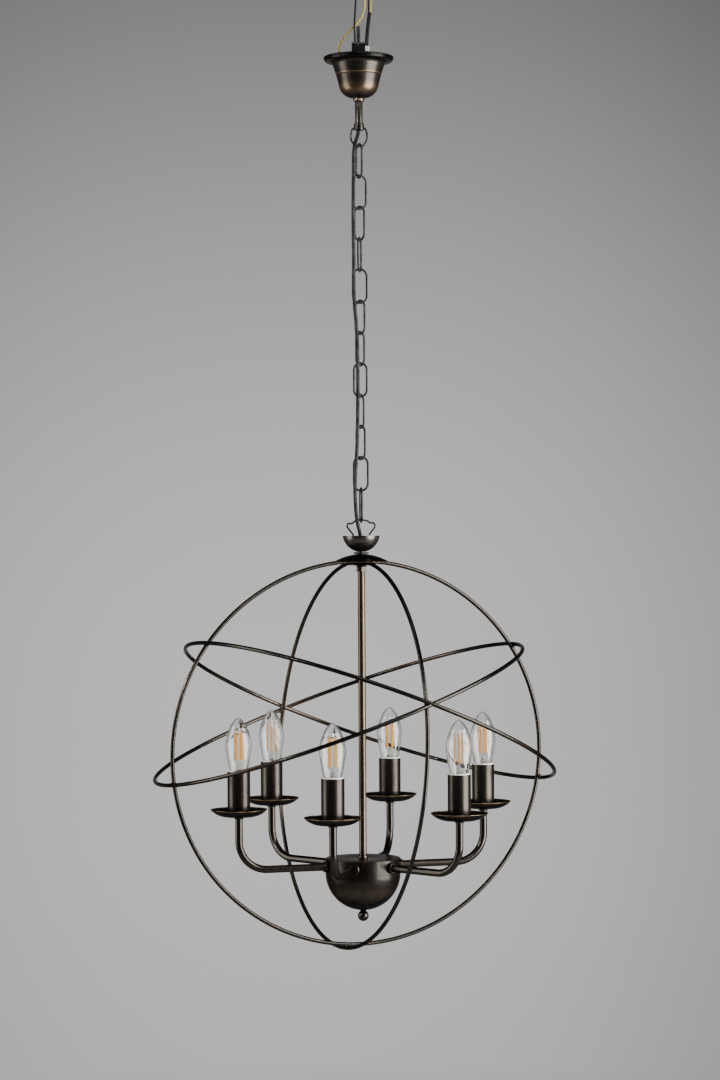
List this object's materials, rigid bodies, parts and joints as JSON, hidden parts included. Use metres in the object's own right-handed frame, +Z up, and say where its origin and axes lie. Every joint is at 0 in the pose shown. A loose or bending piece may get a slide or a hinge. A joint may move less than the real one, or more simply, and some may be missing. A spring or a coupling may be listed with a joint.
{
  "type": "orb chandelier",
  "caption": "Hanging chandelier: candle lamps on bent arms from a domed hub, inside an open orb of crossed round-rod hoops, under a chain and bell canopy.",
  "frame": {"origin": "on the ceiling, midway between the crossbar's two slots", "axes": "+Z up into the ceiling, -Y toward the front, +X to the right seen from the front"},
  "size_m": [0.5377, 0.5356, 1.2709],
  "materials": {
    "bell_bronze": "dark bronze paint, rubbed to gold on the lip and low belly",
    "dark_bronze": "near-black bronze paint with rubbed gold edges",
    "hoop_bronze": "dark bronze paint with brushed gold rub along the rod",
    "hub_bronze": "dark bronze paint with upright brush marks",
    "chain_black": "glossy near-black paint",
    "cup_pewter": "satin pewter bronze",
    "steel": "zinc plated, brushed",
    "stem_grey": "brushed grey bronze",
    "brass": "plain",
    "black_plastic": "moulded",
    "pale_plastic": "moulded",
    "sleeve_black": "satin near-black with rubbed edges",
    "holder_white": "moulded",
    "lamp_glass": "clear, with amber filament strips inside",
    "flex_black": "smooth black sheath",
    "earth_green": "green and yellow insulation",
    "lead_brown": "dark brown insulation",
    "cable_grey": "dark grey sheath"
  },
  "bodies": {
    "ceiling_mount": {"crossbar_bracket": "steel", "earth_screw": "brass", "terminal_block": "black_plastic", "pale_connector": "pale_plastic", "stem_tube": "stem_grey", "stem_nuts": "steel", "cord_grip": "dark_bronze", "flex_cable": "flex_black", "earth_lead": "earth_green", "line_lead": "lead_brown", "supply_cable": "cable_grey"},
    "bell": {"canopy_bell": "bell_bronze", "lock_collar": "dark_bronze"},
    "loop": {"canopy_loop": "chain_black"},
    "link_01": {"chain_link_01": "chain_black"},
    "link_02": {"chain_link_02": "chain_black"},
    "link_03": {"chain_link_03": "chain_black"},
    "link_04": {"chain_link_04": "chain_black"},
    "link_05": {"chain_link_05": "chain_black"},
    "link_06": {"chain_link_06": "chain_black"},
    "link_07": {"chain_link_07": "chain_black"},
    "link_08": {"chain_link_08": "chain_black"},
    "link_09": {"chain_link_09": "chain_black"},
    "link_10": {"chain_link_10": "chain_black"},
    "link_11": {"chain_link_11": "chain_black"},
    "link_12": {"chain_link_12": "chain_black"},
    "bail": {"bail_hanger": "chain_black"},
    "fixture": {"half_cup": "cup_pewter", "hanger_ring": "dark_bronze", "cup_neck": "dark_bronze", "crown_nipple": "steel", "crown_dome": "dark_bronze", "crown_boss": "dark_bronze", "coupling_nut": "cup_pewter", "hoop_wide": "hoop_bronze", "hoop_narrow": "hoop_bronze", "hoop_low_left": "hoop_bronze", "hoop_low_right": "hoop_bronze", "centre_tube": "dark_bronze", "hub_lid": "hub_bronze", "hub_band": "hub_bronze", "hub_bowl": "hub_bronze", "finial": "dark_bronze", "hub_connector": "black_plastic", "arm_1": "dark_bronze", "arm_2": "dark_bronze", "arm_3": "dark_bronze", "arm_4": "dark_bronze", "arm_5": "dark_bronze", "arm_6": "dark_bronze", "arm_collars": "dark_bronze", "drip_trays": "dark_bronze", "candle_sleeves": "sleeve_black", "lamp_holders": "holder_white"},
    "lamp_1": {"lamp_1": "lamp_glass"},
    "lamp_2": {"lamp_2": "lamp_glass"},
    "lamp_3": {"lamp_3": "lamp_glass"},
    "lamp_4": {"lamp_4": "lamp_glass"},
    "lamp_5": {"lamp_5": "lamp_glass"},
    "lamp_6": {"lamp_6": "lamp_glass"}
  },
  "joints": [
    {"name": "bell_slide", "type": "slide", "parent": "ceiling_mount", "child": "bell", "axis": [0, 0, 1], "range_m": [-0.025, 0.012]},
    {"name": "loop_swing", "type": "hinge", "parent": "ceiling_mount", "child": "loop", "pos_m": [0, 0, -0.1076], "axis": [1, 0, 0], "range_deg": [-30, 30], "deforming": ["flex_cable"]},
    {"name": "link_01_swing", "type": "hinge", "parent": "loop", "child": "link_01", "pos_m": [0, 0, -0.1315], "axis": [0, 1, 0], "range_deg": [-12, 12], "deforming": ["flex_cable"]},
    {"name": "link_02_swing", "type": "hinge", "parent": "link_01", "child": "link_02", "pos_m": [0, 0, -0.1734], "axis": [-0.3907, 0.9205, 0], "range_deg": [-12, 12], "deforming": ["flex_cable"]},
    {"name": "link_03_swing", "type": "hinge", "parent": "link_02", "child": "link_03", "pos_m": [0, 0, -0.215], "axis": [0.9397, 0.342, 0], "range_deg": [-12, 12], "deforming": ["flex_cable"]},
    {"name": "link_04_swing", "type": "hinge", "parent": "link_03", "child": "link_04", "pos_m": [0, 0, -0.2566], "axis": [0.6691, -0.7431, 0], "range_deg": [-12, 12], "deforming": ["flex_cable"]},
    {"name": "link_05_swing", "type": "hinge", "parent": "link_04", "child": "link_05", "pos_m": [0, 0, -0.2982], "axis": [0.2079, 0.9781, 0], "range_deg": [-12, 12], "deforming": ["flex_cable"]},
    {"name": "link_06_swing", "type": "hinge", "parent": "link_05", "child": "link_06", "pos_m": [0, 0, -0.3398], "axis": [0.9848, 0.1736, 0], "range_deg": [-12, 12], "deforming": ["flex_cable"]},
    {"name": "link_07_swing", "type": "hinge", "parent": "link_06", "child": "link_07", "pos_m": [0, 0, -0.3814], "axis": [0.6428, -0.766, 0], "range_deg": [-12, 12], "deforming": ["flex_cable"]},
    {"name": "link_08_swing", "type": "hinge", "parent": "link_07", "child": "link_08", "pos_m": [0, 0, -0.423], "axis": [0.5736, 0.8192, 0], "range_deg": [-12, 12], "deforming": ["flex_cable"]},
    {"name": "link_09_swing", "type": "hinge", "parent": "link_08", "child": "link_09", "pos_m": [0, 0, -0.4646], "axis": [0.9135, -0.4067, 0], "range_deg": [-12, 12], "deforming": ["flex_cable"]},
    {"name": "link_10_swing", "type": "hinge", "parent": "link_09", "child": "link_10", "pos_m": [0, 0, -0.5062], "axis": [0.454, 0.891, 0], "range_deg": [-12, 12], "deforming": ["flex_cable"]},
    {"name": "link_11_swing", "type": "hinge", "parent": "link_10", "child": "link_11", "pos_m": [0, 0, -0.5478], "axis": [0.6018, -0.7986, 0], "range_deg": [-12, 12], "deforming": ["flex_cable"]},
    {"name": "link_12_swing", "type": "hinge", "parent": "link_11", "child": "link_12", "pos_m": [0, 0, -0.5894], "axis": [0.9986, 0.0523, 0], "range_deg": [-12, 12], "deforming": ["flex_cable"]},
    {"name": "bail_swing", "type": "hinge", "parent": "link_12", "child": "bail", "pos_m": [0, 0, -0.631], "axis": [-0.1392, 0.9903, 0], "range_deg": [-10, 10], "deforming": ["flex_cable"]},
    {"name": "fixture_swing", "type": "hinge", "parent": "bail", "child": "fixture", "pos_m": [0, 0, -0.657], "axis": [1, 0, 0], "range_deg": [-12, 12], "deforming": ["flex_cable"]},
    {"name": "lamp_1_unscrew", "type": "hinge", "parent": "fixture", "child": "lamp_1", "pos_m": [-0.03795, -0.16571, -0.93], "axis": [0, 0, 1], "range_deg": [0, 900]},
    {"name": "lamp_2_unscrew", "type": "hinge", "parent": "fixture", "child": "lamp_2", "pos_m": [0.12453, -0.11572, -0.93], "axis": [0, 0, 1], "range_deg": [0, 900]},
    {"name": "lamp_3_unscrew", "type": "hinge", "parent": "fixture", "child": "lamp_3", "pos_m": [0.16248, 0.04999, -0.93], "axis": [0, 0, 1], "range_deg": [0, 900]},
    {"name": "lamp_4_unscrew", "type": "hinge", "parent": "fixture", "child": "lamp_4", "pos_m": [0.03795, 0.16571, -0.93], "axis": [0, 0, 1], "range_deg": [0, 900]},
    {"name": "lamp_5_unscrew", "type": "hinge", "parent": "fixture", "child": "lamp_5", "pos_m": [-0.12453, 0.11572, -0.93], "axis": [0, 0, 1], "range_deg": [0, 900]},
    {"name": "lamp_6_unscrew", "type": "hinge", "parent": "fixture", "child": "lamp_6", "pos_m": [-0.16248, -0.04999, -0.93], "axis": [0, 0, 1], "range_deg": [0, 900]}
  ]
}
